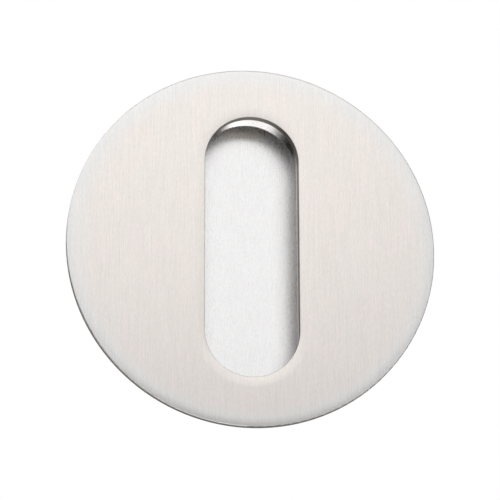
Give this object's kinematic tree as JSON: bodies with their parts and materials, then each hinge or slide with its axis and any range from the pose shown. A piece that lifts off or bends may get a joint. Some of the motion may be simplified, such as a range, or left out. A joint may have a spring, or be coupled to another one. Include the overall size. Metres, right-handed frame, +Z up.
{
  "type": "flush door pull",
  "caption": "Round brushed steel flush pull with an oblong finger recess behind a slotted face plate, let into a door and pulled with the fingertips.",
  "frame": {"origin": "middle of the face plate's seat, the plane where its back lies on the door", "axes": "+Z up along the slot, +X to the right as seen from the front, +Y into the door; the face looks along -Y"},
  "size_m": [0.12, 0.0128, 0.12],
  "materials": {
    "brushed_face": "satin stainless steel, brushed along the slot",
    "rolled_strip": "smooth cold-rolled stainless strip",
    "brushed_sheet": "satin stainless sheet, brushed along the slot",
    "weld_metal": "weld metal as laid, with a faint heat tint"
  },
  "bodies": {
    "root": {"face_plate": "brushed_face", "recess_wall": "rolled_strip", "recess_floor": "brushed_sheet", "front_weld_beads": "weld_metal", "rear_weld_beads": "weld_metal", "strip_seam_weld": "weld_metal"}
  },
  "joints": []
}
